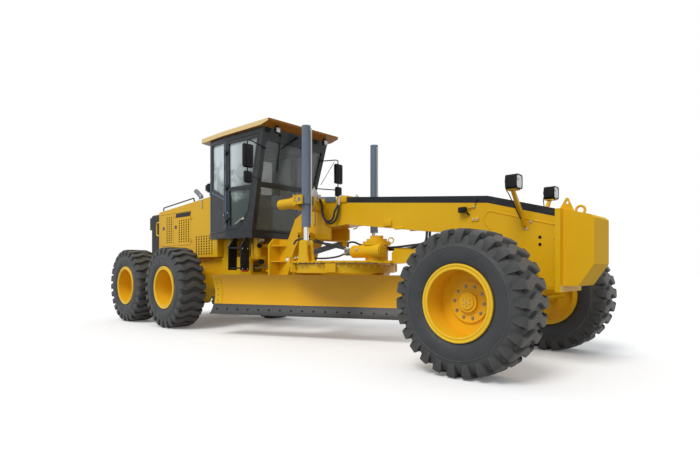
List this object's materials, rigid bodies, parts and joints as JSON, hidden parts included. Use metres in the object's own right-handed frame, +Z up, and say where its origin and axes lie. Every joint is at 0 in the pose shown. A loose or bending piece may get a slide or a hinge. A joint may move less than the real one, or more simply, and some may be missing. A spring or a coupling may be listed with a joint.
{
  "type": "motor grader",
  "caption": "Six-wheel motor grader with an enclosed cab, articulated frame, turning circle and angled blade.",
  "frame": {"origin": "on the ground under the middle of the machine's length and width", "axes": "+X forward towards the nose, +Y to the machine's left, +Z up"},
  "size_m": [8.5848, 2.56, 3.17],
  "materials": {
    "yellow_paint": "gloss",
    "roof_paint": "satin",
    "cab_paint": "satin",
    "dark_steel": "satin",
    "lamp_body": "satin",
    "glass": "clear",
    "seat_fabric": "matte",
    "trim_plastic": "matte",
    "cylinder_paint": "gloss",
    "chrome_rod": "polished",
    "tyre_rubber": "matte",
    "rim_paint": "satin"
  },
  "bodies": {
    "rear_frame": {"rear_frame": "yellow_paint", "tandem_drive": "yellow_paint", "engine_block": "dark_steel", "engine_hood": "yellow_paint", "radiator_guard": "cab_paint", "exhaust_pipe": "cab_paint", "air_precleaner": "cab_paint", "hood_rails": "dark_steel", "cab_shell": "cab_paint", "cab_roof": "roof_paint", "cab_windows": "glass", "operator_seat": "seat_fabric", "control_console": "trim_plastic", "mirrors": "cab_paint", "ladders": "cab_paint"},
    "front_frame": {"front_frame": "yellow_paint", "counterweight": "yellow_paint", "headlamps": "lamp_body", "front_axle": "yellow_paint", "saddle": "yellow_paint"},
    "lean_bar": {"lean_bar": "yellow_paint"},
    "tie_rod": {"tie_rod": "yellow_paint"},
    "drawbar": {"drawbar": "yellow_paint", "circle_drive": "yellow_paint"},
    "circle": {"circle": "yellow_paint"},
    "blade_carrier": {"blade_carrier": "yellow_paint"},
    "blade": {"moldboard": "yellow_paint", "cutting_edge": "dark_steel"},
    "centre_shift_barrel": {"centre_shift_barrel": "cylinder_paint"},
    "centre_shift_rod": {"centre_shift_rod": "chrome_rod"},
    "wheel_front_right": {"tyre_front_right": "tyre_rubber", "rim_front_right": "rim_paint"},
    "wheel_front_left": {"tyre_front_left": "tyre_rubber", "rim_front_left": "rim_paint"},
    "wheel_middle_right": {"tyre_middle_right": "tyre_rubber", "rim_middle_right": "rim_paint"},
    "wheel_middle_left": {"tyre_middle_left": "tyre_rubber", "rim_middle_left": "rim_paint"},
    "wheel_rear_right": {"tyre_rear_right": "tyre_rubber", "rim_rear_right": "rim_paint"},
    "wheel_rear_left": {"tyre_rear_left": "tyre_rubber", "rim_rear_left": "rim_paint"},
    "lean_yoke_right": {"lean_yoke_right": "yellow_paint"},
    "knuckle_right": {"knuckle_right": "yellow_paint"},
    "lean_yoke_left": {"lean_yoke_left": "yellow_paint"},
    "knuckle_left": {"knuckle_left": "yellow_paint"},
    "lift_barrel_right": {"lift_barrel_right": "cylinder_paint"},
    "lift_rod_right": {"lift_rod_right": "chrome_rod"},
    "artic_barrel_right": {"artic_barrel_right": "cylinder_paint"},
    "artic_rod_right": {"artic_rod_right": "chrome_rod"},
    "lift_barrel_left": {"lift_barrel_left": "cylinder_paint"},
    "lift_rod_left": {"lift_rod_left": "chrome_rod"},
    "artic_barrel_left": {"artic_barrel_left": "cylinder_paint"},
    "artic_rod_left": {"artic_rod_left": "chrome_rod"},
    "cab_door_right": {"cab_door_right": "cab_paint", "cab_door_glass_right": "glass"},
    "hood_door_right": {"hood_door_right": "yellow_paint"},
    "cab_door_left": {"cab_door_left": "cab_paint", "cab_door_glass_left": "glass"},
    "hood_door_left": {"hood_door_left": "yellow_paint"}
  },
  "joints": [
    {"name": "articulation", "type": "hinge", "parent": "rear_frame", "child": "front_frame", "pos_m": [-0.5075, 0, 1.1], "axis": [0, 0, -1], "range_deg": [-25, 25]},
    {"name": "wheel_front_right_spin", "type": "hinge", "parent": "knuckle_right", "child": "wheel_front_right", "pos_m": [3.4425, -1.035, 0.675], "axis": [0, 1, 0], "continuous": true},
    {"name": "wheel_front_left_spin", "type": "hinge", "parent": "knuckle_left", "child": "wheel_front_left", "pos_m": [3.4425, 1.035, 0.675], "axis": [0, 1, 0], "continuous": true},
    {"name": "wheel_middle_right_spin", "type": "hinge", "parent": "rear_frame", "child": "wheel_middle_right", "pos_m": [-2.0775, -1.0575, 0.675], "axis": [0, 1, 0], "continuous": true},
    {"name": "wheel_middle_left_spin", "type": "hinge", "parent": "rear_frame", "child": "wheel_middle_left", "pos_m": [-2.0775, 1.0575, 0.675], "axis": [0, 1, 0], "continuous": true},
    {"name": "wheel_rear_right_spin", "type": "hinge", "parent": "rear_frame", "child": "wheel_rear_right", "pos_m": [-3.6175, -1.0575, 0.675], "axis": [0, 1, 0], "continuous": true},
    {"name": "wheel_rear_left_spin", "type": "hinge", "parent": "rear_frame", "child": "wheel_rear_left", "pos_m": [-3.6175, 1.0575, 0.675], "axis": [0, 1, 0], "continuous": true},
    {"name": "lean_right", "type": "hinge", "parent": "front_frame", "child": "lean_yoke_right", "pos_m": [3.4425, -0.6, 0.52], "axis": [1, 0, 0], "range_deg": [-17, 17]},
    {"name": "steer_right", "type": "hinge", "parent": "lean_yoke_right", "child": "knuckle_right", "pos_m": [3.4425, -0.745, 0.675], "axis": [0, 0, 1], "range_deg": [-45, 45]},
    {"name": "lean_left", "type": "hinge", "parent": "front_frame", "child": "lean_yoke_left", "pos_m": [3.4425, 0.6, 0.52], "axis": [1, 0, 0], "range_deg": [-17, 17]},
    {"name": "steer_left", "type": "hinge", "parent": "lean_yoke_left", "child": "knuckle_left", "pos_m": [3.4425, 0.745, 0.675], "axis": [0, 0, 1], "range_deg": [-45, 45]},
    {"name": "lean_bar_slide", "type": "slide", "parent": "front_frame", "child": "lean_bar", "axis": [0, 1, 0], "range_m": [-0.122, 0.122]},
    {"name": "tie_rod_slide", "type": "slide", "parent": "front_frame", "child": "tie_rod", "axis": [0, 1, 0], "range_m": [-0.13, 0.13]},
    {"name": "drawbar_lift", "type": "hinge", "parent": "front_frame", "child": "drawbar", "pos_m": [2.9925, 0, 1.055], "axis": [0, 1, 0], "range_deg": [-22, 3]},
    {"name": "circle_turn", "type": "hinge", "parent": "drawbar", "child": "circle", "pos_m": [0.8925, 0, 1], "axis": [0, 0, 1], "range_deg": [0, 132]},
    {"name": "blade_tip", "type": "hinge", "parent": "circle", "child": "blade_carrier", "pos_m": [0.92504, -0.07308, 0.47], "axis": [0.9135, 0.4067, 0], "range_deg": [-5, 40]},
    {"name": "blade_side_shift", "type": "slide", "parent": "blade_carrier", "child": "blade", "axis": [0.9135, 0.4067, 0], "range_m": [-0.35, 0.65]},
    {"name": "lift_barrel_right_swing", "type": "hinge", "parent": "front_frame", "child": "lift_barrel_right", "pos_m": [0.8525, -0.7, 1.9], "axis": [0, 1, 0], "range_deg": [-1.2, 0.2]},
    {"name": "lift_rod_right_slide", "type": "slide", "parent": "lift_barrel_right", "child": "lift_rod_right", "axis": [0, 0, -1], "range_m": [-0.12, 0.83]},
    {"name": "artic_barrel_right_swing", "type": "hinge", "parent": "rear_frame", "child": "artic_barrel_right", "pos_m": [-1.4075, -0.35, 1.02], "axis": [0, 0, 1], "range_deg": [-3.2, 3.2]},
    {"name": "artic_rod_right_slide", "type": "slide", "parent": "artic_barrel_right", "child": "artic_rod_right", "axis": [1, 0, 0], "range_m": [-0.17, 0.17]},
    {"name": "lift_barrel_left_swing", "type": "hinge", "parent": "front_frame", "child": "lift_barrel_left", "pos_m": [0.8525, 0.7, 1.9], "axis": [0, 1, 0], "range_deg": [-1.2, 0.2]},
    {"name": "lift_rod_left_slide", "type": "slide", "parent": "lift_barrel_left", "child": "lift_rod_left", "axis": [0, 0, -1], "range_m": [-0.12, 0.83]},
    {"name": "artic_barrel_left_swing", "type": "hinge", "parent": "rear_frame", "child": "artic_barrel_left", "pos_m": [-1.4075, 0.35, 1.02], "axis": [0, 0, 1], "range_deg": [-3.2, 3.2]},
    {"name": "artic_rod_left_slide", "type": "slide", "parent": "artic_barrel_left", "child": "artic_rod_left", "axis": [1, 0, 0], "range_m": [-0.17, 0.17]},
    {"name": "centre_shift_swing", "type": "hinge", "parent": "front_frame", "child": "centre_shift_barrel", "pos_m": [0.3825, 0.45, 1.38], "axis": [1, 0, 0], "range_deg": [-5, 36]},
    {"name": "centre_shift_slide", "type": "slide", "parent": "centre_shift_barrel", "child": "centre_shift_rod", "axis": [0, -0.9696, -0.2447], "range_m": [-0.08, 0.56]},
    {"name": "cab_door_right_swing", "type": "hinge", "parent": "rear_frame", "child": "cab_door_right", "pos_m": [-1.0245, -0.735, 2.3], "axis": [0, 0, -1], "range_deg": [0, 85]},
    {"name": "hood_door_right_swing", "type": "hinge", "parent": "rear_frame", "child": "hood_door_right", "pos_m": [-2.4105, -0.592, 1.7], "axis": [0, 0, 1], "range_deg": [0, 90]},
    {"name": "cab_door_left_swing", "type": "hinge", "parent": "rear_frame", "child": "cab_door_left", "pos_m": [-1.0245, 0.735, 2.3], "axis": [0, 0, 1], "range_deg": [0, 85]},
    {"name": "hood_door_left_swing", "type": "hinge", "parent": "rear_frame", "child": "hood_door_left", "pos_m": [-2.4105, 0.592, 1.7], "axis": [0, 0, -1], "range_deg": [0, 90]}
  ],
  "couplings": [
    {"joint": "lean_left", "follows": "lean_right", "ratio": 1},
    {"joint": "steer_left", "follows": "steer_right", "ratio": 1},
    {"joint": "lean_bar_slide", "follows": "lean_right", "m_per_rad": -0.405},
    {"joint": "tie_rod_slide", "follows": "steer_right", "m_per_rad": 0.162},
    {"joint": "lift_barrel_right_swing", "follows": "drawbar_lift", "ratio": 0.05},
    {"joint": "lift_rod_right_slide", "follows": "drawbar_lift", "m_per_rad": -2.14},
    {"joint": "artic_barrel_right_swing", "follows": "articulation", "ratio": -0.11},
    {"joint": "artic_rod_right_slide", "follows": "articulation", "m_per_rad": -0.362},
    {"joint": "lift_barrel_left_swing", "follows": "drawbar_lift", "ratio": 0.05},
    {"joint": "lift_rod_left_slide", "follows": "drawbar_lift", "m_per_rad": -2.14},
    {"joint": "artic_barrel_left_swing", "follows": "articulation", "ratio": -0.11},
    {"joint": "artic_rod_left_slide", "follows": "articulation", "m_per_rad": 0.362},
    {"joint": "centre_shift_swing", "follows": "drawbar_lift", "ratio": -1.625},
    {"joint": "centre_shift_slide", "follows": "drawbar_lift", "m_per_rad": -1.425}
  ]
}
